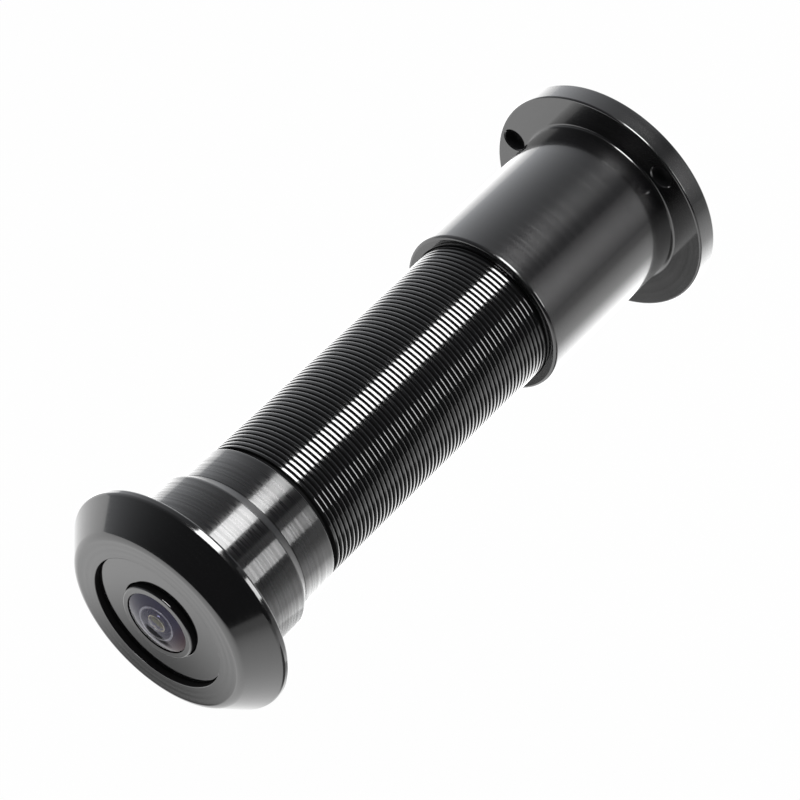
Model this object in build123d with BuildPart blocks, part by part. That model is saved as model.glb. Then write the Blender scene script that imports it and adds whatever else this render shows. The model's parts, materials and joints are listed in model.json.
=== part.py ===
"""Peephole door camera: a bezel and a threaded barrel through a door, clamped by a sleeve from behind.

The camera lies along Y with its lens towards -Y and +Z up. The origin is on the axis, in the plane
where the bezel's back face rests on the outside of the door. Lengths are in millimetres, and every
turned piece is drawn as (radius, distance along the axis) and revolved about Y.
"""

import os
from math import sqrt

from build123d import *

os.makedirs("parts", exist_ok=True)

# Thread, from which every other diameter is stepped out or in
thread_d = 14.0
thread_pitch = 0.5
thread_depth = 0.3
thread_crest_w = 0.1
thread_turns = 68

# Clearances
running = 0.05
slip = 0.05
lens_gap = 0.1

# Bezel and the collars behind it
flange_t = 3.3
flange_ledge_w = 3.1
cone_w = 2.3
rim_w = 0.65
face_ring_w = 2.15
face_round_r = 1.3
rim_round_r = 0.2
recess_depth = 0.5
lip_chamfer = 0.25
web_t = 1.2
seal_seat_depth = 0.6
collar_len = 5.8
collar_step = 0.65
taper_len = 0.9
barrel_collar_len = 3.7
barrel_collar_step = 0.25

# Barrel
relief_w = 0.6
relief_depth = 0.4
spigot_step = 0.5
spigot_len = 4.4
spigot_wall = 0.7
barrel_wall = 1.4
board_ledge_inset = 0.5

# Rear sleeve
sleeve_wall = 0.95
sleeve_len = 17.0
sleeve_front_y = 39.5
rear_flange_ledge_w = 3.0
rear_flange_t = 2.0
rear_flange_chamfer = 0.18
sleeve_root_r = 0.25
sleeve_mouth_chamfer = 0.3
rear_hole_share = 0.7
rear_hole_chamfer_share = 0.07
rear_hole_count = 3
rear_hole_angle = 12.0
ring_groove_y = 1.2
ring_groove_w = 1.5
ring_groove_depth = 0.45

# Trim disc and lens
trim_t = 0.8
lens_share = 0.62
lens_head_len = 3.5
lens_len = 6.7
lens_rim_w = 0.55
lens_rim_chamfer = 0.14
lens_shank_share = 0.78
lens_wall = 0.55
front_glass_edge_t = 0.4
front_glass_sag = 0.75
front_glass_sink = 0.2
front_glass_hollow_share = 0.534
front_glass_hollow_sag = 0.75
baffle_t = 1.0
second_glass_edge_t = 0.7
second_glass_front_sag = 0.35
second_crown_gap = 0.15
second_crown_sink = 0.2
second_glass_rear_sag = 0.35
lens_spacer_len = 0.75
lens_spacer_wall = 0.4
stop_t = 0.2
stop_hole_d = 1.0
rear_glass_edge_t = 1.2
rear_glass_sag = 0.45
retainer_len = 0.8
retainer_wall = 0.6
seal_section_d = 0.56

# Camera module
holder_neck_wall = 1.05
holder_neck_gap = 0.4
holder_base_t = 2.4
holder_wall = 0.7
holder_ear_r = 0.8
holder_ear_t = 0.8
ear_gap = 0.2
filter_seat_w = 0.3
filter_t = 0.3
filter_drop = 0.5
sensor_w_share = 0.96
sensor_h_share = 0.84
sensor_t = 0.7
sensor_glass_t = 0.3
sensor_glass_border = 0.3
board_t = 0.8
spacer_wall = 0.65
spacer_lip_t = 0.5
screw_shank_d = 0.8
screw_head_d = 1.6
screw_head_t = 0.5
screw_bite = 0.7

# Main board and what it carries, each piece placed by its distance behind the board's shoulders
connector_t = 1.6
connector_h = 2.4
connector_wall = 0.4
connector_gap = 0.1
connector_slot_depth = 1.2
main_board_share = 0.87
main_board_t = 0.8
main_board_recess = 0.8
board_corner_r = 0.6
component_edge = 1.1
processor_w = 6.5
processor_t = 0.9
processor_at = 10.15
memory_w = 4.0
memory_len = 5.5
memory_t = 0.9
memory_at = 19.15
crystal_w = 2.5
crystal_len = 3.2
crystal_t = 0.7
crystal_at = 4.15
inductor_w = 3.2
inductor_t = 1.5
inductor_at = 26.65
capacitor_w = 0.6
capacitor_len = 1.1
capacitor_t = 0.6
capacitor_pitch = 1.6
capacitor_at = 2.55
capacitor_count = 3
capacitor_rows = 2
capacitor_row_gap = 21.0

# Rear plug and cable socket
plug_len = 4.0
plug_rim_chamfer = 0.3
socket_w_share = 0.64
socket_h_share = 0.245
socket_len = 5.0
socket_wall = 0.45
socket_cavity_depth = 3.4
pin_count = 4
pin_pitch_share = 0.21
pin_w = 0.35
pin_len = 3.0
pin_root_len = 1.0

# Diameters and widths that follow from the sizes above
barrel_collar_d = thread_d + 2 * barrel_collar_step
collar_d = barrel_collar_d + 2 * collar_step
flange_d = collar_d + 2 * flange_ledge_w
face_d = flange_d - 2 * cone_w
recess_d = face_d - 2 * face_ring_w
relief_d = thread_d - 2 * relief_depth
spigot_d = thread_d - 2 * spigot_step
module_bore_d = spigot_d - 2 * spigot_wall
barrel_bore_d = thread_d - 2 * thread_depth - 2 * barrel_wall
sleeve_bore_d = thread_d + 2 * running
sleeve_d = sleeve_bore_d + 2 * sleeve_wall
rear_flange_d = sleeve_d + 2 * rear_flange_ledge_w
rear_hole_pcd = (sleeve_d + rear_flange_d) / 2
rear_hole_d = rear_flange_ledge_w * rear_hole_share
rear_hole_chamfer = rear_hole_d * rear_hole_chamfer_share
ring_groove_d = sleeve_bore_d + 2 * ring_groove_depth
lens_d = module_bore_d * lens_share
lens_hole_d = lens_d + 2 * lens_gap
lens_bore_d = lens_d - 2 * lens_rim_w
front_glass_d = lens_bore_d - 2 * slip
front_glass_hollow_d = front_glass_d * front_glass_hollow_share
lens_shank_d = lens_d * lens_shank_share
inner_bore_d = lens_shank_d - 2 * lens_wall
inner_glass_d = inner_bore_d - 2 * slip
module_r = module_bore_d / 2 - slip
spacer_bore_r = module_r - spacer_wall
ear_reach = spacer_bore_r - ear_gap - holder_ear_r
holder_bore_d = lens_shank_d + 2 * slip
holder_neck_d = holder_bore_d + 2 * holder_neck_wall
holder_base_w = lens_shank_d + 2 * holder_wall
holder_pocket_w = holder_base_w - 2 * holder_wall
filter_w = holder_pocket_w - 2 * filter_seat_w
sensor_w = filter_w * sensor_w_share
sensor_h = filter_w * sensor_h_share
main_board_w = barrel_bore_d * main_board_share
connector_w = 2 * ear_reach - screw_head_d - 2 * connector_gap
main_board_tongue_w = connector_w - 2 * connector_wall - 2 * slip
component_x = main_board_w / 2 - component_edge
crystal_x = crystal_w / 2 - component_x
inductor_x = inductor_w / 2 - component_x
capacitor_x = component_x - capacitor_len / 2
socket_w = barrel_bore_d * socket_w_share
socket_h = barrel_bore_d * socket_h_share
pin_pitch = (socket_w - 2 * socket_wall) * pin_pitch_share

# Places along the axis that follow from the sizes above
face_y = -flange_t
disc_front_y = face_y + recess_depth
disc_back_y = disc_front_y + trim_t
web_back_y = disc_back_y + web_t
shoulder_y = collar_len + taper_len
spigot_y = shoulder_y - spigot_len
barrel_collar_y = shoulder_y + barrel_collar_len
thread_y = barrel_collar_y + relief_w
barrel_end_y = thread_y + thread_turns * thread_pitch
rear_flange_y = sleeve_front_y + sleeve_len
sleeve_end_y = rear_flange_y + rear_flange_t
glass_edge_y = face_y + front_glass_sink
glass_seat_y = glass_edge_y + front_glass_edge_t
crown_rim_y = glass_seat_y + second_crown_sink
second_y = glass_seat_y + baffle_t
spacer_y = second_y + second_glass_edge_t
stop_y = spacer_y + lens_spacer_len
rear_glass_y = stop_y + stop_t
retainer_y = rear_glass_y + rear_glass_edge_t
head_end_y = face_y + lens_head_len
lens_end_y = face_y + lens_len
neck_y = head_end_y + holder_neck_gap
filter_y = lens_end_y + lens_gap
base_y = filter_y - filter_drop
board_y = base_y + holder_base_t
sensor_y = board_y - sensor_t
ledge_y = board_y + board_t
slot_y = ledge_y + connector_t - connector_slot_depth
tongue_y = slot_y + slip
main_board_y = ledge_y + connector_t + slip
main_board_end_y = barrel_end_y - main_board_recess
board_top_z = main_board_t / 2
plug_y = barrel_end_y - plug_len
socket_y = main_board_end_y - socket_len


def station(y):
    """The plane across the axis at a distance y, with its sketch's x along -X and y along Z."""
    return Plane(origin=(0, y, 0), x_dir=(-1, 0, 0), z_dir=(0, 1, 0))


def turned(*points):
    """Revolves a closed outline of (radius, y) points about the camera's axis."""
    with BuildSketch(Plane.XY) as outline:
        with BuildLine():
            Polyline(*points, close=True)
        make_face()
    revolve(outline.sketch, axis=Axis.Y)


def ring(inner_r, outer_r, start_y, end_y):
    """A plain turned ring between two radii and two places on the axis."""
    turned((inner_r, start_y), (outer_r, start_y), (outer_r, end_y), (inner_r, end_y))


def cut_round(diameter, start_y, end_y):
    """Bores a round hole on the axis between two places."""
    with BuildSketch(station(start_y)) as hole:
        Circle(diameter / 2)
    extrude(hole.sketch, amount=end_y - start_y, mode=Mode.SUBTRACT)


def block(width, height, start_y, end_y, x=0.0, z=0.0, mode=Mode.ADD):
    """A rectangular block or pocket along the axis, centred on (x, z)."""
    with BuildSketch(station(start_y)) as outline:
        with Locations((-x, z)):
            Rectangle(width, height)
    extrude(outline.sketch, amount=end_y - start_y, mode=mode)


def drop_at_half(width, sag):
    """How far a spherical face of this width and sag has dropped at half the radius of its rim."""
    rim = width / 2
    sphere = (rim * rim + sag * sag) / (2 * sag)
    return sphere - sqrt(sphere * sphere - rim * rim / 4)


def glass(diameter, front_y, back_y, front_sag, back_sag, curved_d=None):
    """A round lens: its edge runs from front_y to back_y, and each face bows out by its sag.

    A front face bows towards -Y and a back face towards +Y. A negative back sag is a hollow. Where
    curved_d is given, only that width of the back face is curved, with a flat ring around it.
    """
    rim = diameter / 2
    back_rim = (curved_d or diameter) / 2
    front_apex = front_y - front_sag
    back_apex = back_y + back_sag
    back_drop = drop_at_half(2 * back_rim, abs(back_sag))
    back_half = back_apex + back_drop if back_sag < 0 else back_apex - back_drop
    with BuildSketch(Plane.XY) as outline:
        with BuildLine():
            if front_sag:
                front_half = front_apex + drop_at_half(diameter, front_sag)
                ThreePointArc((0, front_apex), (rim / 2, front_half), (rim, front_y))
            else:
                Line((0, front_y), (rim, front_y))
            Line((rim, front_y), (rim, back_y))
            if curved_d:
                Line((rim, back_y), (back_rim, back_y))
            ThreePointArc((back_rim, back_y), (back_rim / 2, back_half), (0, back_apex))
            Line((0, back_apex), (0, front_apex))
        make_face()
    revolve(outline.sketch, axis=Axis.Y)


# Bezel: one turned piece, a coned flange with a recess in its face and a collar behind it
bevel_y = -rim_w
with BuildPart() as bezel:
    turned(
        (0, face_y),
        (face_d / 2, face_y),
        (flange_d / 2, bevel_y),
        (flange_d / 2, 0),
        (collar_d / 2, 0),
        (collar_d / 2, collar_len),
        (barrel_collar_d / 2, shoulder_y),
        (0, shoulder_y),
    )
    face_edge = bezel.edges().filter_by(GeomType.CIRCLE).sort_by(Axis.Y)[0]
    fillet(face_edge, face_round_r)
    rounds = bezel.edges().filter_by(GeomType.CIRCLE)
    fillet(rounds.filter_by(lambda e: e.radius > flange_d / 2 - slip), rim_round_r)
    cut_round(recess_d, face_y, disc_back_y)
    lip = bezel.edges().filter_by(GeomType.CIRCLE).group_by(Axis.Y)[0].sort_by(SortBy.RADIUS)[0]
    chamfer(lip, lip_chamfer)
    cut_round(lens_d + 2 * running, disc_back_y, web_back_y)
    cut_round(lens_d + 2 * seal_section_d, web_back_y - seal_seat_depth, web_back_y)
    cut_round(module_bore_d, web_back_y, shoulder_y)
    cut_round(spigot_d + 2 * slip, spigot_y - slip, shoulder_y)
bezel.part.label = "bezel"
export_step(bezel.part, "parts/bezel.step")

# Trim disc: sits in the recess, round the lens
with BuildPart() as trim_disc:
    ring(lens_hole_d / 2, recess_d / 2 - slip, disc_front_y, disc_back_y)
trim_disc.part.label = "trim_disc"
export_step(trim_disc.part, "parts/trim_disc.step")

# Lens barrel: a headed tube with stepped seats for the glasses
with BuildPart() as lens_barrel:
    turned(
        (lens_bore_d / 2, face_y),
        (lens_d / 2 - lens_rim_chamfer, face_y),
        (lens_d / 2, face_y + lens_rim_chamfer),
        (lens_d / 2, head_end_y),
        (lens_shank_d / 2, head_end_y),
        (lens_shank_d / 2, lens_end_y),
        (inner_bore_d / 2, lens_end_y),
        (inner_bore_d / 2, second_y),
        (front_glass_hollow_d / 2, second_y),
        (front_glass_hollow_d / 2, glass_seat_y),
        (lens_bore_d / 2, glass_seat_y),
    )
lens_barrel.part.label = "lens_barrel"
export_step(lens_barrel.part, "parts/lens_barrel.step")

# Front lens: a domed meniscus
with BuildPart() as front_lens:
    hollow = -front_glass_hollow_sag
    glass(front_glass_d, glass_edge_y, glass_seat_y, front_glass_sag, hollow, front_glass_hollow_d)
front_lens.part.label = "front_lens"
export_step(front_lens.part, "parts/front_lens.step")

# Second lens, seated behind the barrel's baffle, with a crown that stands in the baffle's hole
with BuildPart() as second_lens:
    glass(inner_glass_d, second_y, spacer_y, 0, second_glass_rear_sag, inner_glass_d - 2 * lens_spacer_wall)
    crown_d = front_glass_hollow_d - 2 * second_crown_gap
    crown_y = crown_rim_y - second_glass_front_sag
    crown_half_y = crown_y + drop_at_half(crown_d, second_glass_front_sag)
    with BuildSketch(Plane.XY) as crown:
        with BuildLine():
            ThreePointArc((0, crown_y), (crown_d / 4, crown_half_y), (crown_d / 2, crown_rim_y))
            Polyline((crown_d / 2, crown_rim_y), (crown_d / 2, second_y), (0, second_y), (0, crown_y))
        make_face()
    revolve(crown.sketch, axis=Axis.Y)
second_lens.part.label = "second_lens"
export_step(second_lens.part, "parts/second_lens.step")

# Spacer between the second lens and the aperture stop
with BuildPart() as lens_spacer:
    ring(inner_glass_d / 2 - lens_spacer_wall, inner_glass_d / 2, spacer_y, stop_y)
lens_spacer.part.label = "lens_spacer"
export_step(lens_spacer.part, "parts/lens_spacer.step")

# Aperture stop: a thin disc with the pupil's hole
with BuildPart() as aperture_stop:
    ring(stop_hole_d / 2, inner_glass_d / 2, stop_y, rear_glass_y)
aperture_stop.part.label = "aperture_stop"
export_step(aperture_stop.part, "parts/aperture_stop.step")

# Rear lens, flat in front and domed behind
with BuildPart() as rear_lens:
    glass(inner_glass_d, rear_glass_y, retainer_y, 0, rear_glass_sag, inner_glass_d - 2 * retainer_wall)
rear_lens.part.label = "rear_lens"
export_step(rear_lens.part, "parts/rear_lens.step")

# Retaining ring that closes the lens barrel from behind
with BuildPart() as lens_retainer:
    ring(inner_glass_d / 2 - retainer_wall, inner_glass_d / 2, retainer_y, retainer_y + retainer_len)
lens_retainer.part.label = "lens_retainer"
export_step(lens_retainer.part, "parts/lens_retainer.step")

# Round seal between the lens barrel and the bezel's web
with BuildPart() as lens_seal:
    with BuildSketch(Plane.XY) as section:
        with Locations((lens_d / 2 + seal_section_d / 2, web_back_y - seal_section_d / 2)):
            Circle(seal_section_d / 2 - running / 2)
    revolve(section.sketch, axis=Axis.Y)
lens_seal.part.label = "lens_seal"
export_step(lens_seal.part, "parts/lens_seal.step")

# Module spacer: a tube that presses the sensor board against the barrel's ledge and traps the seal
with BuildPart() as module_spacer:
    turned(
        (lens_hole_d / 2, web_back_y),
        (module_r, web_back_y),
        (module_r, board_y),
        (spacer_bore_r, board_y),
        (spacer_bore_r, web_back_y + spacer_lip_t),
        (lens_hole_d / 2, web_back_y + spacer_lip_t),
    )
module_spacer.part.label = "module_spacer"
export_step(module_spacer.part, "parts/module_spacer.step")

# Lens holder: a threaded neck on a square base with two screw ears, open below for the sensor
with BuildPart() as lens_holder:
    block(holder_base_w, holder_base_w, base_y, board_y)
    with BuildSketch(station(neck_y)) as neck:
        Circle(holder_neck_d / 2)
    extrude(neck.sketch, amount=base_y - neck_y)
    with BuildSketch(station(board_y - holder_ear_t)) as ears:
        with Locations((ear_reach, 0), (-ear_reach, 0)):
            Circle(holder_ear_r)
        Rectangle(2 * ear_reach, 2 * holder_ear_r)
    extrude(ears.sketch, amount=holder_ear_t)
    cut_round(holder_bore_d, neck_y, filter_y)
    block(filter_w + 2 * slip, filter_w + 2 * slip, filter_y, filter_y + filter_t, mode=Mode.SUBTRACT)
    block(holder_pocket_w, holder_pocket_w, filter_y + filter_t, board_y, mode=Mode.SUBTRACT)
    with BuildSketch(station(board_y - holder_ear_t)) as ear_holes:
        with Locations((ear_reach, 0), (-ear_reach, 0)):
            Circle(screw_shank_d / 2 + slip)
    extrude(ear_holes.sketch, amount=holder_ear_t, mode=Mode.SUBTRACT)
lens_holder.part.label = "lens_holder"
export_step(lens_holder.part, "parts/lens_holder.step")

# Infrared filter, glued under the holder's neck
with BuildPart() as ir_filter:
    block(filter_w, filter_w, filter_y, filter_y + filter_t)
ir_filter.part.label = "ir_filter"
export_step(ir_filter.part, "parts/ir_filter.step")

# Image sensor and its cover glass
with BuildPart() as image_sensor:
    block(sensor_w, sensor_h, sensor_y, board_y)
image_sensor.part.label = "image_sensor"
export_step(image_sensor.part, "parts/image_sensor.step")

with BuildPart() as sensor_glass:
    block(
        sensor_w - 2 * sensor_glass_border,
        sensor_h - 2 * sensor_glass_border,
        sensor_y - sensor_glass_t,
        sensor_y,
    )
sensor_glass.part.label = "sensor_glass"
export_step(sensor_glass.part, "parts/sensor_glass.step")

# Sensor board: a round board with two clearance holes for the holder's screws
with BuildPart() as sensor_board:
    with BuildSketch(station(board_y)) as disc:
        Circle(module_r)
        with Locations((ear_reach, 0), (-ear_reach, 0)):
            Circle(screw_shank_d / 2 + slip, mode=Mode.SUBTRACT)
    extrude(disc.sketch, amount=board_t)
sensor_board.part.label = "sensor_board"
export_step(sensor_board.part, "parts/sensor_board.step")

# Two pan-head screws from behind the board into the holder's ears
with BuildPart() as holder_screws:
    for side in (-1, 1):
        shank_y = ledge_y - board_t - screw_bite
        with BuildSketch(station(shank_y)) as shank:
            with Locations((side * ear_reach, 0)):
                Circle(screw_shank_d / 2)
        extrude(shank.sketch, amount=ledge_y - shank_y)
        with BuildSketch(station(ledge_y)) as head:
            with Locations((side * ear_reach, 0)):
                Circle(screw_head_d / 2)
        extrude(head.sketch, amount=screw_head_t)
holder_screws.part.label = "holder_screws"
export_step(holder_screws.part, "parts/holder_screws.step")

# Barrel: spigot, collar, relief and a long fine thread, cut here as rings at the thread's pitch
thread_r = thread_d / 2
flank_w = (thread_pitch - thread_crest_w) / 2
thread_outline = []
for turn in range(thread_turns):
    start = thread_y + turn * thread_pitch
    thread_outline.append((thread_r - thread_depth, start))
    thread_outline.append((thread_r, start + flank_w))
    thread_outline.append((thread_r, start + flank_w + thread_crest_w))
with BuildPart() as barrel:
    turned(
        (module_bore_d / 2, spigot_y),
        (spigot_d / 2, spigot_y),
        (spigot_d / 2, shoulder_y),
        (barrel_collar_d / 2, shoulder_y),
        (barrel_collar_d / 2, barrel_collar_y),
        (relief_d / 2, barrel_collar_y),
        (relief_d / 2, thread_y),
        *thread_outline,
        (thread_r - thread_depth, barrel_end_y),
        (barrel_bore_d / 2, barrel_end_y),
        (barrel_bore_d / 2, ledge_y + board_ledge_inset),
        (barrel_bore_d / 2, ledge_y),
        (module_bore_d / 2, ledge_y),
    )
barrel.part.label = "barrel"
export_step(barrel.part, "parts/barrel.step")

# Edge connector: carries the main board's tongue behind the sensor board
with BuildPart() as edge_connector:
    block(connector_w, connector_h, ledge_y, ledge_y + connector_t)
    slot_w = main_board_tongue_w + 2 * slip
    block(slot_w, main_board_t + 2 * slip, slot_y, ledge_y + connector_t, mode=Mode.SUBTRACT)
edge_connector.part.label = "edge_connector"
export_step(edge_connector.part, "parts/edge_connector.step")

# Main board: a long board with a tongue for the connector
with BuildPart() as main_board:
    with BuildSketch(Plane.XY.offset(-board_top_z)) as outline:
        board_len = main_board_end_y - main_board_y
        with Locations((0, main_board_y + board_len / 2)):
            RectangleRounded(main_board_w, board_len, board_corner_r)
        tongue_len = main_board_y + board_corner_r - tongue_y
        with Locations((0, tongue_y + tongue_len / 2)):
            Rectangle(main_board_tongue_w, tongue_len)
    extrude(outline.sketch, amount=main_board_t)
main_board.part.label = "main_board"
export_step(main_board.part, "parts/main_board.step")


def on_board(width, length, height, x, y):
    """A packaged component that stands on the main board's upper face, centred on (x, y)."""
    block(width, height, y - length / 2, y + length / 2, x, board_top_z + height / 2)


# Components on the main board
with BuildPart() as processor_chip:
    on_board(processor_w, processor_w, processor_t, 0, main_board_y + processor_at)
processor_chip.part.label = "processor_chip"
export_step(processor_chip.part, "parts/processor_chip.step")

with BuildPart() as memory_chip:
    on_board(memory_w, memory_len, memory_t, 0, main_board_y + memory_at)
memory_chip.part.label = "memory_chip"
export_step(memory_chip.part, "parts/memory_chip.step")

with BuildPart() as crystal:
    on_board(crystal_w, crystal_len, crystal_t, crystal_x, main_board_y + crystal_at)
crystal.part.label = "crystal"
export_step(crystal.part, "parts/crystal.step")

with BuildPart() as power_inductor:
    on_board(inductor_w, inductor_w, inductor_t, inductor_x, main_board_y + inductor_at)
power_inductor.part.label = "power_inductor"
export_step(power_inductor.part, "parts/power_inductor.step")

with BuildPart() as capacitors:
    for row in range(capacitor_rows):
        for place in range(capacitor_count):
            y = main_board_y + capacitor_at + row * capacitor_row_gap + place * capacitor_pitch
            on_board(capacitor_len, capacitor_w, capacitor_t, capacitor_x, y)
capacitors.part.label = "capacitors"
export_step(capacitors.part, "parts/capacitors.step")

# Rear plug: closes the barrel round the main board's end and the cable socket
with BuildPart() as rear_plug:
    with BuildSketch(station(plug_y)) as disc:
        Circle(barrel_bore_d / 2 - slip)
    extrude(disc.sketch, amount=plug_len)
    chamfer(rear_plug.faces().sort_by(Axis.Y)[-1].edges(), plug_rim_chamfer)
    slot_w = main_board_w + 2 * slip
    slot_h = main_board_t + 2 * slip
    block(slot_w, slot_h, plug_y, main_board_end_y + slip, mode=Mode.SUBTRACT)
    window_w = socket_w + 2 * slip
    window_h = socket_h + 2 * slip
    block(window_w, window_h, plug_y, barrel_end_y, 0, board_top_z + socket_h / 2, Mode.SUBTRACT)
rear_plug.part.label = "rear_plug"
export_step(rear_plug.part, "parts/rear_plug.step")

# Cable socket on the end of the main board, open to the rear, with its row of pins
cavity_y = socket_y + socket_len - socket_cavity_depth
socket_z = board_top_z + socket_h / 2
with BuildPart() as cable_socket:
    on_board(socket_w, socket_len, socket_h, 0, socket_y + socket_len / 2)
    block(
        socket_w - 2 * socket_wall,
        socket_h - 2 * socket_wall,
        cavity_y,
        socket_y + socket_len,
        0,
        socket_z,
        Mode.SUBTRACT,
    )
    for place in range(pin_count):
        x = (place - (pin_count - 1) / 2) * pin_pitch
        pin_hole_w = pin_w + 2 * slip
        root_y = cavity_y - pin_root_len
        block(pin_hole_w, pin_hole_w, root_y, cavity_y, x, socket_z, Mode.SUBTRACT)
cable_socket.part.label = "cable_socket"
export_step(cable_socket.part, "parts/cable_socket.step")

with BuildPart() as socket_pins:
    for place in range(pin_count):
        x = (place - (pin_count - 1) / 2) * pin_pitch
        block(pin_w, pin_w, cavity_y - pin_root_len, cavity_y - pin_root_len + pin_len, x, socket_z)
socket_pins.part.label = "socket_pins"
export_step(socket_pins.part, "parts/socket_pins.step")

# Rear sleeve: runs on the barrel's thread and clamps the door with its flange
bore_r = sleeve_bore_d / 2
groove_y = sleeve_front_y + ring_groove_y
with BuildPart() as rear_sleeve:
    turned(
        (bore_r, sleeve_front_y),
        (sleeve_d / 2, sleeve_front_y),
        (sleeve_d / 2, rear_flange_y),
        (rear_flange_d / 2, rear_flange_y),
        (rear_flange_d / 2, sleeve_end_y),
        (bore_r, sleeve_end_y),
        (bore_r, groove_y + ring_groove_w),
        (ring_groove_d / 2, groove_y + ring_groove_w),
        (ring_groove_d / 2, groove_y),
        (bore_r, groove_y),
    )
    rounds = rear_sleeve.edges().filter_by(GeomType.CIRCLE)
    root = rounds.filter_by_position(Axis.Y, rear_flange_y, rear_flange_y).sort_by(SortBy.RADIUS)[0]
    fillet(root, sleeve_root_r)
    rounds = rear_sleeve.edges().filter_by(GeomType.CIRCLE)
    rims = rounds.filter_by(lambda e: e.radius > rear_flange_d / 2 - slip)
    chamfer(rims, rear_flange_chamfer)
    rounds = rear_sleeve.edges().filter_by(GeomType.CIRCLE)
    front_rims = rounds.filter_by_position(Axis.Y, sleeve_front_y, sleeve_front_y)
    chamfer(front_rims, sleeve_mouth_chamfer)
    with BuildSketch(station(rear_flange_y)) as holes:
        with PolarLocations(rear_hole_pcd / 2, rear_hole_count, start_angle=rear_hole_angle):
            Circle(rear_hole_d / 2)
    extrude(holes.sketch, amount=rear_flange_t, mode=Mode.SUBTRACT)
    mouths = rear_sleeve.edges().filter_by(GeomType.CIRCLE).filter_by(lambda e: e.radius < rear_hole_d)
    chamfer(mouths, rear_hole_chamfer)
rear_sleeve.part.label = "rear_sleeve"
export_step(rear_sleeve.part, "parts/rear_sleeve.step")

# Friction ring: lies in the sleeve's groove and grips the thread
ring_side = (ring_groove_w - 2 * running) / 2
ring_mid_y = groove_y + ring_groove_w / 2
with BuildPart() as friction_ring:
    ring(bore_r, ring_groove_d / 2 - running, ring_mid_y - ring_side, ring_mid_y + ring_side)
friction_ring.part.label = "friction_ring"
export_step(friction_ring.part, "parts/friction_ring.step")
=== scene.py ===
# %% [markdown]
# # A peephole door camera
# The object is a small camera that goes through a door: a coned bezel with a domed lens in front,
# a barrel with a fine thread, and a flanged sleeve that screws along it from behind. Nearly all of
# it was turned on a lathe and anodised black, so this lesson is about two things: turning shapes
# from outlines, and making black metal readable, which is done by what it reflects.
#
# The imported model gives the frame: every piece below is made in its place, in metres, along Y.

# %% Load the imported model
import json
from math import atan2, cos, hypot, pi, radians, sin

import bmesh
import bpy
from mathutils import Matrix, Vector


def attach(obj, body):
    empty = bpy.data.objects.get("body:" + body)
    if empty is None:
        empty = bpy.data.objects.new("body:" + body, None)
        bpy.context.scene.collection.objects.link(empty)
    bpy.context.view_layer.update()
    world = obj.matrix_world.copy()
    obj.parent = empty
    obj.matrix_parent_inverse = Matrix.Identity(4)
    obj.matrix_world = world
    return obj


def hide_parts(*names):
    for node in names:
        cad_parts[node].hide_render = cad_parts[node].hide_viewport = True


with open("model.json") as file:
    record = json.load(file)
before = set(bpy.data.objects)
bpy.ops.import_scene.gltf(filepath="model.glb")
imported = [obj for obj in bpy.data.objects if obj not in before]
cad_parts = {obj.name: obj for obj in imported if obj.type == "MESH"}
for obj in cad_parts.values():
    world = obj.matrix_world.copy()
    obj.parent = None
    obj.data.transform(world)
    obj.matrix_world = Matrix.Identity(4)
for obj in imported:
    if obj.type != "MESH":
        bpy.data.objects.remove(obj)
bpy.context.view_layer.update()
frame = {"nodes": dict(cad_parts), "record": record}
scene = bpy.context.scene
mm = 0.001

# %% [markdown]
# ## The camera
# The viewpoint was worked out from the circles of the object, which look like ellipses: how flat
# they are gives the angle, and how fast they shrink towards the rear gives the distance. A long
# lens about a foot away matches them, looking down from the front right.

# %% Place the camera
view_azimuth, view_elevation = 38.07, 48.47
eye = bpy.data.objects.new("view", bpy.data.cameras.new("view"))
scene.collection.objects.link(eye)
eye.data.sensor_width = 36
eye.data.lens = 174.9
eye.data.clip_start, eye.data.clip_end = 0.01, 20
eye.location = (133.98 * mm, -142.81 * mm, 244.21 * mm)
eye.rotation_euler = (radians(90 - view_elevation), 0, radians(view_azimuth))
scene.camera = eye
scene.view_settings.view_transform = "Standard"
print("camera's distance in mm:", round(eye.location.length / mm))

# %% [markdown]
# ## Adding nodes
# A material is a small graph. One function adds a node, sets its settings and fills or links its
# inputs, and another turns a colour written as a hex number, as a paint shop would give it, into
# the linear numbers that the renderer counts with.


# %% Helpers for materials
def linear(hex_code):
    """The linear RGBA of an sRGB hex colour such as 7f7f7f."""
    parts = [int(hex_code[i : i + 2], 16) / 255 for i in (0, 2, 4)]
    return [p / 12.92 if p <= 0.04045 else ((p + 0.055) / 1.055) ** 2.4 for p in parts] + [1.0]


def add(tree, kind, inputs=None, **settings):
    """Adds a node: settings are its own options, and inputs are values or other nodes' sockets."""
    node = tree.nodes.new(kind)
    for key, value in settings.items():
        setattr(node, key, value)
    for key, value in (inputs or {}).items():
        if isinstance(value, bpy.types.NodeSocket):
            tree.links.new(value, node.inputs[key])
        else:
            node.inputs[key].default_value = value
    return node


def new_material(name):
    """An empty material, with its node tree and its output node."""
    material = bpy.data.materials.new(name)
    material.use_nodes = True
    material.node_tree.nodes.clear()
    return material, material.node_tree, add(material.node_tree, "ShaderNodeOutputMaterial")


# %% [markdown]
# ## Floor
# The photograph has a plain white ground. The floor's own colour is a pale grey, and to the camera,
# to gloss and to glass it shows as white by Light Path, while a small share of it stays plain and
# keeps the shadow. Black metal shows what stands round it, so what gloss sees of the floor carries
# painted shade: it darkens towards the right, and it has two painted shadows, dark patches on the
# ground. One shows in the lower part of the bezel's face and in the front of the rear flange, the
# other along the right edge of the thread.

# %% Lay the floor
floor_z, floor_half_width = -0.12, 1.5
bm = bmesh.new()
bmesh.ops.create_grid(bm, x_segments=2, y_segments=2, size=floor_half_width)
bmesh.ops.translate(bm, verts=bm.verts, vec=(0, 0, floor_z))
floor = bpy.data.objects.new("floor", bpy.data.meshes.new("floor"))
bm.to_mesh(floor.data)
bm.free()
scene.collection.objects.link(floor)
print("floor in mm:", [round(v / mm) for v in floor.dimensions], "at a height of", round(floor_z / mm))

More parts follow.
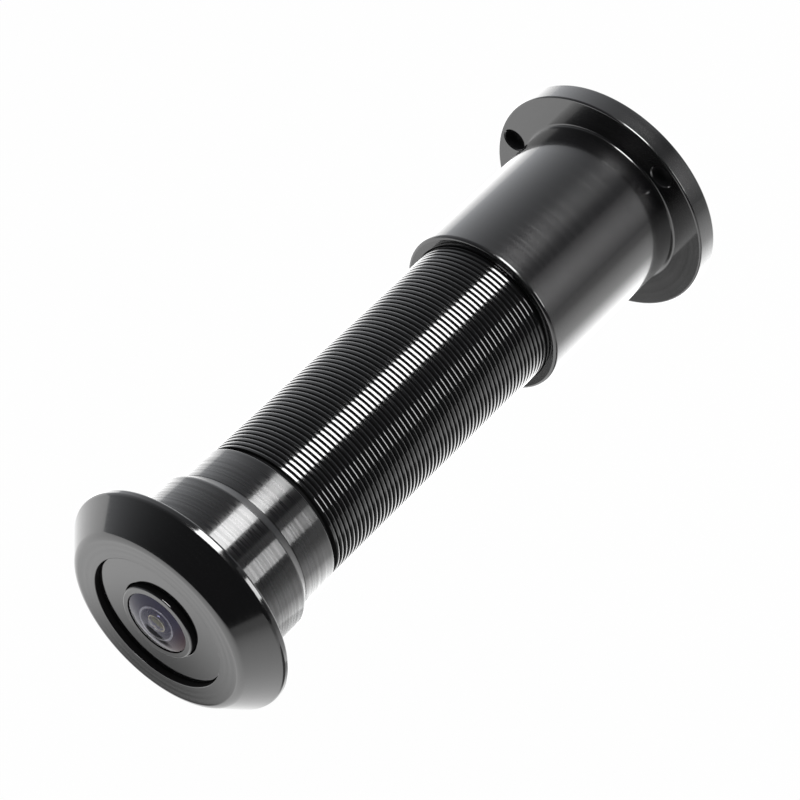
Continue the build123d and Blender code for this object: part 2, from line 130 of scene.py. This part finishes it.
# %% Work out what gloss sees of the floor
fade_from, fade_to, painted_shade_level = 0.06, 0.5, 0.3
painted_shadow_level = 0.12
# each painted shadow's middle and half widths in metres, how far its middle line leans towards +X
# for each metre along Y, and where its edge starts and ends, counted in half widths
painted_shadows = [
    ((-0.055, -0.047), (0.018, 0.0225), 0.33, 0.88, 1.3),
    ((0.150, 0.030), (0.110, 0.050), 0.0, 0.9, 1.25),
]
paper, tree, out = new_material("white paper ground")
path = add(tree, "ShaderNodeLightPath")
ground = add(tree, "ShaderNodeTexCoord").outputs["Object"]
aside = add(tree, "ShaderNodeSeparateXYZ", {0: ground})
# painted shade: gloss sees the floor darker towards the right
shade = add(tree, "ShaderNodeMapRange", {
    "Value": aside.outputs["X"], "From Min": fade_from, "From Max": fade_to,
    "To Min": 1.0, "To Max": painted_shade_level})
# each painted shadow darkens the floor where gloss sees it
for middle, half, lean, edge_from, edge_to in painted_shadows:
    away = add(tree, "ShaderNodeVectorMath", {0: ground, 1: (*middle, floor_z)}, operation="SUBTRACT")
    wide, deep = (add(tree, "ShaderNodeVectorMath", {0: away.outputs[0], 1: axis}, operation="DOT_PRODUCT")
                  for axis in ((1 / half[0], -lean / half[0], 0), (0, 1 / half[1], 0)))
    offset = add(tree, "ShaderNodeCombineXYZ", {"X": wide.outputs["Value"], "Y": deep.outputs["Value"]})
    reach = add(tree, "ShaderNodeVectorMath", {0: offset.outputs[0]}, operation="LENGTH")
    painted_shadow = add(tree, "ShaderNodeMapRange", {
        "Value": reach.outputs["Value"], "From Min": edge_from, "From Max": edge_to,
        "To Min": painted_shadow_level, "To Max": 1.0})
    shade = add(tree, "ShaderNodeMath", {0: shade.outputs[0], 1: painted_shadow.outputs[0]}, operation="MULTIPLY")
print("painted shadows:", len(painted_shadows))

# %% Paint the floor
white_share = 0.97
mirrored = path.outputs["Is Glossy Ray"]
level = add(tree, "ShaderNodeMix", {"Factor": mirrored, "A": 1.0, "B": shade.outputs[0]})
seen = add(tree, "ShaderNodeMath", {0: path.outputs["Is Camera Ray"], 1: mirrored}, operation="MAXIMUM")
seen = add(tree, "ShaderNodeMath", {0: seen.outputs[0], 1: path.outputs["Is Transmission Ray"]},
           operation="MAXIMUM")
share = add(tree, "ShaderNodeMath", {0: seen.outputs[0], 1: white_share}, operation="MULTIPLY")
matt = add(tree, "ShaderNodeBsdfDiffuse", {"Color": linear("ececec")})
glow = add(tree, "ShaderNodeEmission", {"Color": linear("ffffff"), "Strength": level.outputs[0]})
both = add(tree, "ShaderNodeMixShader", {0: share.outputs[0], 1: matt.outputs[0], 2: glow.outputs[0]})
tree.links.new(both.outputs[0], out.inputs["Surface"])
floor.data.materials.append(paper)
print("nodes in the floor's material:", len(tree.nodes))

# %% [markdown]
# ## World
# The world is dim, as a studio is, because black metal is only as dark as the room that it mirrors.
# It brightens towards the left and the rear, low down, which gives the barrel and the sleeve their
# pale left side, and is a little dimmer towards the front. The camera itself sees it as plain white.

# %% Light the room
bright_side = (-0.75, 0.5, -0.5)
room_level, bright_gain, bright_power = 0.05, 1.3, 3.0
front_level, front_to, rear_from = 0.6, 0.38, 0.66
world = bpy.data.worlds.new("dim studio")
world.use_nodes = True
world.node_tree.nodes.clear()
tree = world.node_tree
ahead = add(tree, "ShaderNodeTexCoord").outputs["Generated"]
window = add(tree, "ShaderNodeVectorMath", {0: ahead, 1: bright_side}, operation="DOT_PRODUCT")
toward = add(tree, "ShaderNodeMapRange", {
    "Value": window.outputs["Value"], "From Min": -1.0, "From Max": 1.0})
rise = add(tree, "ShaderNodeMath", {0: toward.outputs[0], 1: bright_power}, operation="POWER")
level = add(tree, "ShaderNodeMath", {0: rise.outputs[0], 1: bright_gain, 2: room_level},
            operation="MULTIPLY_ADD")
parts = add(tree, "ShaderNodeSeparateXYZ", {0: ahead})
behind = add(tree, "ShaderNodeMapRange", {
    "Value": parts.outputs["Y"], "From Min": front_to, "From Max": rear_from,
    "To Min": front_level, "To Max": 1.0}, interpolation_type="SMOOTHSTEP")
level = add(tree, "ShaderNodeMath", {0: level.outputs[0], 1: behind.outputs[0]}, operation="MULTIPLY")
room = add(tree, "ShaderNodeBackground", {"Color": linear("f4f6fa"), "Strength": level.outputs[0]})
white = add(tree, "ShaderNodeBackground", {"Color": linear("ffffff"), "Strength": 1.0})
camera_sees = add(tree, "ShaderNodeLightPath").outputs["Is Camera Ray"]
shown = add(tree, "ShaderNodeMixShader", {0: camera_sees, 1: room.outputs[0], 2: white.outputs[0]})
add(tree, "ShaderNodeOutputWorld", {"Surface": shown.outputs[0]})
scene.world = world
print("nodes in the world:", len(tree.nodes))

# %% [markdown]
# ## Lamps
# On a polished cylinder a soft box shows as a stripe along it, at the place where the surface
# faces half way between the lamp and the eye. So each lamp is placed by its angle round the
# object's axis, and its brightness is given as how many times brighter than white paper it looks.


# %% Place the soft boxes
def soft_box(name, around, height, front, rear, wide, brightness, spread=180):
    """An area lamp that faces the Y axis from a height above it, at an angle from +X towards +Z. It
    reaches from front to rear along the axis. A small spread gives its reflection soft edges."""
    outward = Vector((cos(radians(around)), 0, sin(radians(around))))
    sideways = Vector((0, 1, 0)).cross(outward)
    lamp = bpy.data.objects.new(name, bpy.data.lights.new(name, "AREA"))
    lamp.data.shape = "RECTANGLE"
    lamp.data.size, lamp.data.size_y = wide, rear - front
    lamp.data.energy = brightness * pi * wide * (rear - front)
    lamp.data.spread = radians(spread)
    lamp.location = outward * height + Vector((0, (front + rear) / 2, 0))
    lamp.rotation_euler = Matrix((sideways, (0, 1, 0), outward)).transposed().to_euler()
    lamp.visible_camera = False
    scene.collection.objects.link(lamp)
    print(name, "watts:", round(lamp.data.energy, 2))


soft_box("overhead key", around=80.5, height=0.90, front=-0.30, rear=0.505, wide=0.41, brightness=8.5)
soft_box("right strip", around=26, height=0.90, front=0.25, rear=0.505, wide=0.34, brightness=4.6)
soft_box("right strip, far end", around=22, height=0.90, front=0.52, rear=1.10, wide=0.90, brightness=0.30,
         spread=90)
soft_box("right low", around=-85, height=0.10, front=0.06, rear=0.24, wide=0.22, brightness=0.8, spread=100)
soft_box("left low", around=-145, height=0.16, front=0.07, rear=0.30, wide=0.22, brightness=0.75, spread=100)

# %% [markdown]
# ## Turning shapes
# A lathe makes a shape from an outline, and so does bmesh: a few points in a half plane, their
# corners softened with a vertex bevel, then a full spin about the axis. Real turned edges are never
# sharp, and the thin bright lines along them are much of what makes a part look machined.

# %% The lathe's settings
fine_steps, lens_steps = 192, 96
flat_step, shortest_flat = 0.03, 0.24
sharp_from = 30
print("faces round a turned piece:", fine_steps, "and round a glass:", lens_steps)


# %% The lathe's tools
def outline(bm, points, soft=None, segments=4, flat_ends=True):
    """Adds a line through (radius, along) points in mm. soft maps a point's number to its corner's
    width. flat_ends gives a straight run a short step at each end, so that it is shaded flat."""
    corners = [bm.verts.new((r, y, 0)) for r, y in points]
    for pair in zip(corners, corners[1:]):
        bm.edges.new(pair)
    for number, width in (soft or {}).items():
        bmesh.ops.bevel(bm, geom=[corners[number]], offset=width, offset_type="OFFSET",
                        segments=segments, profile=0.5, affect="VERTICES", material=-1)
    if not flat_ends:
        return
    for edge in [e for e in bm.edges if not e.link_faces and e.calc_length() > shortest_flat]:
        far = edge.verts[1]
        near = bmesh.utils.edge_split(edge, edge.verts[0], flat_step / edge.calc_length())[1]
        run = next(e for e in near.link_edges if far in e.verts)
        bmesh.utils.edge_split(run, far, flat_step / run.calc_length())


def spin(bm, geom, steps):
    """Spins part of the mesh once round the Y axis and closes it."""
    bmesh.ops.spin(bm, geom=geom, cent=(0, 0, 0), axis=(0, 1, 0), angle=2 * pi, steps=steps, use_merge=True)
    bmesh.ops.remove_doubles(bm, verts=bm.verts, dist=1e-4)


def turned(points, soft=None, segments=4, steps=fine_steps):
    """A new mesh in mm, turned from one outline."""
    bm = bmesh.new()
    outline(bm, points, soft, segments)
    spin(bm, bm.verts[:] + bm.edges[:], steps)
    return bm


def dress(bm, inside=None):
    """Turns the faces outward and smooth. Those whose (radius, along) passes the test inside get the
    second material."""
    bmesh.ops.recalc_face_normals(bm, faces=bm.faces)
    for face in bm.faces:
        middle = face.calc_center_median()
        face.material_index = int(bool(inside and inside(hypot(middle.x, middle.z), middle.y)))
        face.smooth = True


def mark_sharp(bm, degrees=sharp_from):
    """Keeps the shading apart across every edge that bends by more than so many degrees."""
    for edge in bm.edges:
        edge.smooth = edge.calc_face_angle(0) < radians(degrees)


def to_object(bm, name, materials):
    """Links the mesh, with its materials, as a new object."""
    made = bpy.data.objects.new(name, bpy.data.meshes.new(name))
    bm.to_mesh(made.data)
    bm.free()
    scene.collection.objects.link(made)
    for material in materials:
        made.data.materials.append(material)
    return made


def piece(bm, name, body, stands_for, material, sharp=sharp_from, matt=None, inside=None):
    """Turns the finished bmesh, in mm, into a piece in metres that rides on its body. matt is the
    material of the faces that pass the test inside."""
    dress(bm, inside)
    bmesh.ops.scale(bm, vec=(mm, mm, mm), verts=bm.verts)
    mark_sharp(bm, sharp)
    made = to_object(bm, name, [material, matt] if matt else [material])
    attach(made, body)
    if stands_for:
        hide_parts(stands_for)
    print(name, "faces:", len(made.data.polygons), "box in mm:", [round(v / mm, 2) for v in made.dimensions])
    return made


# %% [markdown]
# ## Black anodised aluminium
# Anodising grows a layer of clear alumina, which is dyed black: it reflects as a clear coat does,
# faintly face on and strongly at a glancing angle, and what is under it hardly shows. Turning
# leaves grooves round the axis, which smear each reflection along the axis, so the gloss is
# anisotropic, with its tangent running round the axis. Real grooves are about 0.05 mm apart, which
# is too fine to show in the render, so the ones that show are drawn as rings a few tenths apart.

# %% Sizes in the anodised finish, in mm
collars_middle, collars_reach = 5.2, 5.2
whole_object = 1000.0
wear_patch, polished_ring_depth = 2.5, 0.0002
print("turning marks from", collars_middle - collars_reach, "to", collars_middle + collars_reach)


# %% The turned and anodised finish
def turned_black(name, colour, roughness, smear, ring_mm, ring_depth_mm, ring_wear, polished=None):
    """Black anodised metal with lathe rings ring_mm apart. Where polished is given, as a roughness
    and a smear, only the two collars keep their turning marks, and the rest is polished."""
    material, tree, out = new_material(name)
    place = add(tree, "ShaderNodeTexCoord").outputs["Object"]
    flat = add(tree, "ShaderNodeVectorMath", {0: place, 1: (1, 0, 1)}, operation="MULTIPLY")
    radius = add(tree, "ShaderNodeVectorMath", {0: flat.outputs[0]}, operation="LENGTH")
    along = add(tree, "ShaderNodeSeparateXYZ", {0: place}).outputs["Y"]
    # radius plus the place along the axis changes across every turned face, flat, coned or round
    cut = add(tree, "ShaderNodeMath", {0: radius.outputs["Value"], 1: along}, operation="ADD")
    rings = add(tree, "ShaderNodeTexNoise", {
        "W": cut.outputs[0], "Scale": 1 / (ring_mm * mm), "Detail": 2.0}, noise_dimensions="1D")
    marked_reach = collars_reach if polished else whole_object
    marked = add(tree, "ShaderNodeMath", {0: along, 1: collars_middle * mm, 2: marked_reach * mm},
                 operation="COMPARE").outputs[0]
    smooth_roughness, smooth_smear = polished or (0.0, 0.0)
    smeared = add(tree, "ShaderNodeMapRange", {"Value": marked, "To Min": smooth_smear, "To Max": smear})
    base = add(tree, "ShaderNodeMapRange", {"Value": marked, "To Min": smooth_roughness, "To Max": roughness})
    # handling leaves patches that are a little duller or brighter
    worn = add(tree, "ShaderNodeTexNoise", {"Vector": place, "Scale": 1 / (wear_patch * mm), "Detail": 3.0})
    wear = add(tree, "ShaderNodeMapRange", {"Value": worn.outputs[0], "To Min": 0.9, "To Max": 1.12})
    rough = add(tree, "ShaderNodeMath", {0: base.outputs[0], 1: wear.outputs[0]}, operation="MULTIPLY")
    coarse = add(tree, "ShaderNodeMapRange", {
        "Value": rings.outputs[0], "From Min": 0.35, "From Max": 0.65,
        "To Min": 1 - ring_wear, "To Max": 1 + ring_wear})
    rough = add(tree, "ShaderNodeMath", {0: rough.outputs[0], 1: coarse.outputs[0]}, operation="MULTIPLY")
    depth = add(tree, "ShaderNodeMapRange", {
        "Value": marked, "To Min": polished_ring_depth * mm, "To Max": ring_depth_mm * mm})
    bump = add(tree, "ShaderNodeBump", {"Height": rings.outputs[0], "Distance": depth.outputs[0]})
    round_axis = add(tree, "ShaderNodeVectorMath", {0: place, 1: (0, 1, 0)}, operation="CROSS_PRODUCT")
    gloss = add(tree, "ShaderNodeBsdfPrincipled", {
        "Base Color": linear(colour), "Roughness": rough.outputs[0], "IOR": 1.9,
        "Anisotropic": smeared.outputs[0], "Anisotropic Rotation": 0.25, "Tangent": round_axis.outputs[0],
        "Normal": bump.outputs[0], "Coat Weight": 1.0, "Coat Roughness": 0.08, "Coat IOR": 1.6})
    tree.links.new(gloss.outputs[0], out.inputs["Surface"])
    return material


# %% Three anodised finishes
# turned: combed stripes on the two collars, and clear reflections on the flange and the thread
anodised_gloss = turned_black("black anodised aluminium, turned", "0a0a0b", 0.30, 1.0, 0.30, 0.006, 0.32,
                              polished=(0.14, 0.3))
# faced: the flat front of the disc and the lens barrel, which mirrors the ground softly
anodised_face = turned_black("black anodised aluminium, faced", "0e0e10", 0.10, 0.0, 0.18, 0.0004, 0.1)
# satin: the sleeve, whose stripes have soft edges and no combing
anodised_satin = turned_black("black anodised aluminium, satin", "0c0c0d", 0.22, 0.0, 0.30, 0.0002, 0.1)
print("anodised finishes:", [m.name for m in (anodised_gloss, anodised_face, anodised_satin)])

# %% [markdown]
# ## Plainer finishes
# Plastic, solder mask, ceramic, steel and rubber need less: a colour and a roughness that drift a
# little, and a surface that isn't quite even.


# %% A finish with a fine grain
def plain(name, colour, roughness, metallic=0.0, grain_mm=0.2, depth_mm=0.004, vary=0.08, ior=1.5):
    """A finish with a fine grain: its colour and roughness drift a little, and its surface is uneven."""
    material, tree, out = new_material(name)
    place = add(tree, "ShaderNodeTexCoord").outputs["Object"]
    grain = add(tree, "ShaderNodeTexNoise", {"Vector": place, "Scale": 1 / (grain_mm * mm), "Detail": 3.0})
    dark, pale = ([min(1, c * drift) for c in linear(colour)[:3]] + [1] for drift in (1 - vary, 1 + vary))
    tone = add(tree, "ShaderNodeMix", {"Factor": grain.outputs[0], "A": dark, "B": pale}, data_type="RGBA")
    rough = add(tree, "ShaderNodeMapRange", {
        "Value": grain.outputs[0], "To Min": roughness * 0.85, "To Max": min(1, roughness * 1.15)})
    bump = add(tree, "ShaderNodeBump", {"Height": grain.outputs[0], "Distance": depth_mm * mm})
    body = add(tree, "ShaderNodeBsdfPrincipled", {
        "Base Color": tone.outputs["Result"], "Roughness": rough.outputs[0], "Metallic": metallic,
        "Normal": bump.outputs[0]})
    if not metallic:
        body.inputs["IOR"].default_value = ior
    tree.links.new(body.outputs[0], out.inputs["Surface"])
    return material


# %% Matt black: painted shade for what lies inside, and ink for the glasses
# rough, dull and darker than the anodised finishes, it swallows light: it paints shade into the bores,
# holes, recess walls and the thread's flanks, which stay dark; on the glasses it is the black ink on
# their edges
shade_and_ink_black = plain("matt black, painted shade in hollows and ink on glass edges", "060607", 0.85, ior=1.35)
print("inner faces:", shade_and_ink_black.name)

# %% [markdown]
# ## Bezel
# One turned piece: a flange with a coned side and a narrow rim, a recess for the disc in its face,
# and the collar that fills the hole in the door. In each piece below, the names that end in r are
# radii and the rest are places along the axis, where the door's face is zero.

# %% Turn the bezel
web_r, socket_r, recess_r, nose_r, collar_r, face_r, flange_r = 3.645, 5.8, 6.55, 7.25, 7.9, 8.7, 11.0
bezel_face, recess_floor, web_back, rim, door = -3.3, -2.0, -0.8, -0.65, 0.0
socket, collar_end, nose = 2.25, 5.8, 6.7
bezel_line = [
    (web_r, recess_floor), (recess_r, recess_floor), (recess_r, bezel_face), (face_r, bezel_face),
    (flange_r, rim), (flange_r, door), (collar_r, door), (collar_r, collar_end), (nose_r, nose),
    (recess_r, nose), (recess_r, socket), (socket_r, socket), (socket_r, web_back), (web_r, web_back),
    (web_r, recess_floor),
]
soft_corners = {2: 0.04, 3: 0.40, 4: 0.16, 5: 0.2, 6: 0.15, 7: 0.12, 8: 0.06}
# the recess wall and the collar's inner faces take the matt black: painted shade in the recess
piece(turned(bezel_line, soft_corners, segments=6), "turned_bezel", "housing", "bezel",
      anodised_gloss, matt=shade_and_ink_black,
      inside=lambda radius, along: radius < recess_r + 0.15 and along > bezel_face + 0.1)

# %% Turn the trim disc
disc_r, disc_hole_r, disc_front = 6.5, 3.7, -2.8
disc_line = [
    (disc_hole_r, recess_floor), (disc_hole_r, disc_front), (disc_r, disc_front), (disc_r, recess_floor),
    (disc_hole_r, recess_floor),
]
piece(turned(disc_line, {1: 0.06, 2: 0.1}), "trim_plate", "housing", "trim_disc",
      anodised_face)

# %% Turn the lens barrel
baffle_r, stack_r, shank_r, seat_r, tube_r = 1.6, 2.255, 2.805, 3.046, 3.596
baffle_front, baffle_back, shoulder, tube_end = -2.72, -1.7, 0.2, 3.4
lens_line = [
    (seat_r, bezel_face), (tube_r, bezel_face), (tube_r, shoulder), (shank_r, shoulder),
    (shank_r, tube_end), (stack_r, tube_end), (stack_r, baffle_back), (baffle_r, baffle_back),
    (baffle_r, baffle_front), (seat_r, baffle_front), (seat_r, bezel_face),
]
# its side wall and its bore take the matt black: painted shade round the glass
piece(turned(lens_line, {1: 0.14}, steps=128), "lens_tube", "housing", "lens_barrel",
      anodised_face, matt=shade_and_ink_black,
      inside=lambda radius, along: radius > tube_r - 0.006 or radius < seat_r - 0.006)

# %% [markdown]
# ## Barrel
# The thread is a true helix here. A Screw modifier winds one tooth's outline round the axis, rising
# by the pitch each turn, and two planes then cut it square at its ends.

# %% Draw one tooth
pitch, crest_r, root_r, root_land = 0.5, 7.0, 6.7, 0.02
thread_from, thread_to, turns, turn_steps = 11.0, 45.0, 70, 96
# the crest is worn rounder on its front side, which is what spreads the lamps' stripes there
crest_at, front_curve, rear_curve, crest_slope, slope_step = 0.32, 0.42, 0.12, 28, 7
crest = [(crest_r - curve * (1 - cos(radians(slope))), crest_at + curve * sin(radians(slope)))
         for curve, slopes in ((front_curve, range(-crest_slope, 1, slope_step)),
                               (rear_curve, range(slope_step, crest_slope + 1, slope_step)))
         for slope in slopes]
tooth = [(root_r, 0.0), (root_r + root_land, root_land), *crest, (root_r + root_land, pitch - root_land),
         (root_r, pitch)]
bm = bmesh.new()
outline(bm, [(r, thread_from - pitch + y) for r, y in tooth], flat_ends=False)
coil = to_object(bm, "coil", [])
print("points in a tooth:", len(tooth))

# %% Wind the thread
wind = coil.modifiers.new("wind", "SCREW")
wind.axis, wind.angle, wind.screw_offset, wind.iterations = "Y", 2 * pi, pitch, turns
wind.steps = wind.render_steps = turn_steps
bpy.context.view_layer.update()
bm = bmesh.new()
bm.from_mesh(coil.evaluated_get(bpy.context.evaluated_depsgraph_get()).data)
bpy.data.objects.remove(coil)
bmesh.ops.remove_doubles(bm, verts=bm.verts, dist=1e-3)
for end, is_rear in ((thread_from, False), (thread_to, True)):
    bmesh.ops.bisect_plane(bm, geom=bm.verts[:] + bm.edges[:] + bm.faces[:], dist=1e-5, plane_co=(0, end, 0),
                           plane_no=(0, 1, 0), clear_inner=not is_rear, clear_outer=is_rear)
print("thread faces:", len(bm.faces))

# %% Turn the rest of the barrel and join it to the thread
relief_r, pocket_r, barrel_bore_r, neck_r = 6.6, 5.8, 5.3, 6.5
neck_end, pocket_end, collar2_end = 2.3, 6.2, 10.4
thread_verts = set(bm.verts)
barrel_line = [
    (relief_r, thread_from), (relief_r, collar2_end), (nose_r, collar2_end), (nose_r, nose), (neck_r, nose),
    (neck_r, neck_end), (pocket_r, neck_end), (pocket_r, pocket_end), (barrel_bore_r, pocket_end),
    (barrel_bore_r, thread_to),
]
outline(bm, barrel_line, {2: 0.12, 3: 0.06}, segments=5)
new_verts = [v for v in bm.verts if v not in thread_verts]
spin(bm, new_verts + list({e for v in new_verts for e in v.link_edges}), fine_steps)
for end in (thread_from, thread_to):
    rims = [e for e in bm.edges if e.is_boundary and all(abs(v.co.y - end) < 0.01 for v in e.verts)]
    bmesh.ops.bridge_loops(bm, edges=rims)
print("open edges left:", sum(e.is_boundary for e in bm.edges))
# the thread's flanks and roots take the matt black: painted shade in the grooves
piece(bm, "threaded_barrel", "housing", "barrel", anodised_gloss, sharp=35,
      matt=shade_and_ink_black, inside=lambda radius, along: radius < crest_r - 0.07)

# %% [markdown]
# ## Rear sleeve
# The sleeve is turned like the rest. Its three holes are drilled with a Boolean, by cutters that
# are themselves turned, with a flare at each end that leaves the small chamfer.

# %% Turn the sleeve
sleeve_bore_r, groove_r, sleeve_r = 7.05, 7.5, 8.0
sleeve_front, groove_front, groove_back, flange_front, flange_back = 39.5, 40.7, 42.2, 56.5, 58.5
sleeve_line = [
    (sleeve_bore_r, sleeve_front), (sleeve_r, sleeve_front), (sleeve_r, flange_front),
    (flange_r, flange_front), (flange_r, flange_back), (sleeve_bore_r, flange_back),
    (sleeve_bore_r, groove_back), (groove_r, groove_back), (groove_r, groove_front),
    (sleeve_bore_r, groove_front), (sleeve_bore_r, sleeve_front),
]
soft_corners = {1: 0.3, 2: 0.25, 3: 0.18, 4: 0.18}
# its bore takes the matt black: painted shade inside
sleeve = piece(turned(sleeve_line, soft_corners, segments=6), "turned_sleeve", "sleeve", "rear_sleeve",
               anodised_satin, matt=shade_and_ink_black,
               inside=lambda radius, along: radius < sleeve_bore_r + 0.05)

# %% Drill its three holes
hole_circle_r, hole_r, flare, overshoot, first_angle = 9.5, 1.05, 0.10, 0.02, 168
drill_line = [
    (0, flange_front - overshoot), (hole_r + flare + overshoot, flange_front - overshoot),
    (hole_r, flange_front + flare), (hole_r, flange_back - flare),
    (hole_r + flare + overshoot, flange_back + overshoot), (0, flange_back + overshoot),
]
for number in range(3):
    angle = radians(first_angle - 120 * number)
    bm = turned(drill_line, steps=48)
    # the hole walls take the matt black: painted shade in the holes
    dress(bm, lambda radius, along: radius < hole_r + 0.005)
    bmesh.ops.translate(bm, verts=bm.verts, vec=(hole_circle_r * cos(angle), 0, hole_circle_r * sin(angle)))
    bmesh.ops.scale(bm, vec=(mm, mm, mm), verts=bm.verts)
    mark_sharp(bm)
    cutter = to_object(bm, "drill", [anodised_satin, shade_and_ink_black])
    cut = sleeve.modifiers.new("drill", "BOOLEAN")
    cut.object, cut.operation, cut.solver = cutter, "DIFFERENCE", "EXACT"
    bpy.context.view_layer.update()
    sleeve.data = bpy.data.meshes.new_from_object(sleeve.evaluated_get(bpy.context.evaluated_depsgraph_get()))
    sleeve.modifiers.remove(cut)
    bpy.data.objects.remove(cutter)
bm = bmesh.new()
bm.from_mesh(sleeve.data)
mark_sharp(bm)
bm.to_mesh(sleeve.data)
bm.free()
print("sleeve faces after drilling:", len(sleeve.data.polygons))

# %% [markdown]
# ## Lens
# The front glass is a dome with a hollow back, and the second glass stands in the hole behind it.
# Their coatings tint the reflections, violet in front and green behind, and leave what passes
# through nearly clear. The front glass's flat back and edge are inked black, as in real lenses,
# which keeps the lamps from shining back out of it. Round its hollow runs a narrow ground bevel,
# which is white because it scatters light, and the second glass sits in a bright turned ring.


# %% The glass and its outline
def coated_glass(name, colour, tint, painted_edge_tint, ior):
    """Polished glass with a coating that tints its reflections; towards the lower right the tint is painted
    by place.
    """
    material, tree, out = new_material(name)
    place = add(tree, "ShaderNodeTexCoord").outputs["Object"]
    film = add(tree, "ShaderNodeTexNoise", {"Vector": place, "Scale": 1 / (2.0 * mm), "Detail": 2.0})
    smear = add(tree, "ShaderNodeMapRange", {"Value": film.outputs[0], "To Min": 0.005, "To Max": 0.03})
    # painted reflection colour: the tint shifts towards the lower right, set by place on the glass
    lower_right = (0.88, 0.0, -0.47)
    across = add(tree, "ShaderNodeVectorMath", {0: place, 1: lower_right}, operation="DOT_PRODUCT")
    side = add(tree, "ShaderNodeMapRange", {
        "Value": across.outputs["Value"], "From Min": 1.2 * mm, "From Max": 3.0 * mm})
    coating = add(tree, "ShaderNodeMix", {
        "Factor": side.outputs[0], "A": linear(tint), "B": linear(painted_edge_tint)}, data_type="RGBA")
    body = add(tree, "ShaderNodeBsdfPrincipled", {
        "Base Color": linear(colour), "Roughness": smear.outputs[0], "IOR": ior, "Transmission Weight": 1.0,
        "Specular Tint": coating.outputs["Result"]})
    tree.links.new(body.outputs[0], out.inputs["Surface"])
    return material


def cap(radius, apex, sag, count=14):
    """Points of a spherical cap's outline, from the axis at its apex out to its rim, sag further along."""
    sphere = (radius ** 2 + sag ** 2) / (2 * abs(sag))
    reach = atan2(radius, sphere - abs(sag))
    side = 1 if sag > 0 else -1
    return [(sphere * sin(reach * i / count), apex + side * sphere * (1 - cos(reach * i / count)))
            for i in range(count + 1)]


# violet coating: the dome mirrors the ground in violet, and in a painted red at its lower right edge
violet_glass = coated_glass("optical glass, violet coating", "ffffff", "a4a0cc", "b0626e", 1.75)
# green coating: the element in the pupil looks cream and olive
green_glass = coated_glass("optical glass, green coating", "dcdca8", "d0cc78", "c8c070", 1.9)
print("glasses:", violet_glass.name, "and", green_glass.name)

# %% Turn the front glass
glass_r, hollow_r, glass_back = 2.996, 1.45, -2.7
front_line = cap(glass_r, -3.85, 0.62) + [(glass_r, glass_back)] + cap(hollow_r, -3.45, 0.70)[::-1]
piece(turned(front_line, steps=lens_steps), "front_glass", "housing", "front_lens",
      violet_glass, matt=shade_and_ink_black,
      inside=lambda radius, along: (
          radius > glass_r - 0.006 or (radius > hollow_r + 0.01 and along > glass_back - 0.05)))

# %% Turn the second glass
crown_r, crown_front, crown_back, flank_r, glass2_r = 0.83, -2.86, -2.6, 1.45, 2.205
second_line = [
    *cap(crown_r, crown_front, 0.14), (crown_r, crown_back), (flank_r, crown_back), (flank_r, baffle_back),
    (glass2_r, baffle_back), (glass2_r, -1.0), *cap(1.805, -0.65, -0.35)[::-1],
]
piece(turned(second_line, steps=lens_steps), "second_glass", "housing", "second_lens",
      green_glass, matt=shade_and_ink_black,
      inside=lambda radius, along: crown_r + 0.01 < radius < flank_r + 0.01 and along > crown_back - 0.1)

# %% Add the ground bevel and the bright seat
# ground: white and dull, because it scatters light
ground_glass = plain("ground glass edge", "ecebf6", 0.6)
bevel_line = [(1.45, -2.76), (1.50, -2.82), (1.60, -2.74), (1.60, -2.69), (1.45, -2.69), (1.45, -2.76)]
piece(turned(bevel_line, {1: 0.02}, steps=lens_steps), "front_glass_bevel", "housing", None,
      ground_glass)
# turned bright: a thin warm line round the pupil
polished_seat = plain("bright turned aluminium seat", "efe8cc", 0.32, 1.0)
seat_line = [(0.84, -2.60), (0.91, -3.00), (0.97, -3.00), (1.02, -2.60), (0.84, -2.60)]
piece(turned(seat_line, {1: 0.02, 2: 0.02}, steps=lens_steps), "second_glass_seat", "housing", None,
      polished_seat)

# %% [markdown]
# ## Finishes for the carried-over pieces
# The rest of the model keeps its CAD shapes, and each piece gets the finish of its real counterpart.

# %% Give every other CAD node its material
finishes = {
    "inner_black": plain("matt black anodised spacer", "0b0b0c", 0.7),  # no clear reflections
    "moulded_black": plain("moulded black nylon", "17171a", 0.5),  # broad, soft highlights
    "moulded_white": plain("moulded natural nylon", "d9d4c6", 0.45),  # waxy, warm white
    "nylon": plain("turned natural nylon", "cfcabb", 0.4),  # the same, a little shinier where cut
    "circuit_board": plain("green solder mask", "14502a", 0.3, grain_mm=0.6),  # smooth green lacquer
    "chip_black": plain("moulded epoxy", "1b1b1e", 0.55),  # dull dark grey
    "crystal_can": plain("nickel plated can", "c9c6bf", 0.25, 1.0),  # soft mirror, faintly warm
    "ceramic_tan": plain("fired ceramic", "9c7a58", 0.4),  # eggshell tan
    "screw_steel": plain("machined steel", "8d8d90", 0.35, 1.0),  # grey metal with blurred highlights
    "pin_brass": plain("gold flashed brass", "d9b262", 0.25, 1.0),  # yellow, and nearly a mirror
    "seal_rubber": plain("moulded rubber", "151515", 0.75),  # black and dull
    "sensor_body": plain("black ceramic package", "2a2430", 0.25),  # smooth, dark violet grey
    "lens_barrel_black": anodised_face,
    "coated_glass": violet_glass,
    "filter_glass": green_glass,
}
slots = {row["node"]: row["material_slot"] for row in frame["record"]["subparts"]}
carried = {node: obj for node, obj in frame["nodes"].items() if not obj.hide_render}
for node, obj in carried.items():
    obj.data.materials.clear()
    obj.data.materials.append(finishes[slots[node]])
print("CAD nodes carried over:", len(carried))
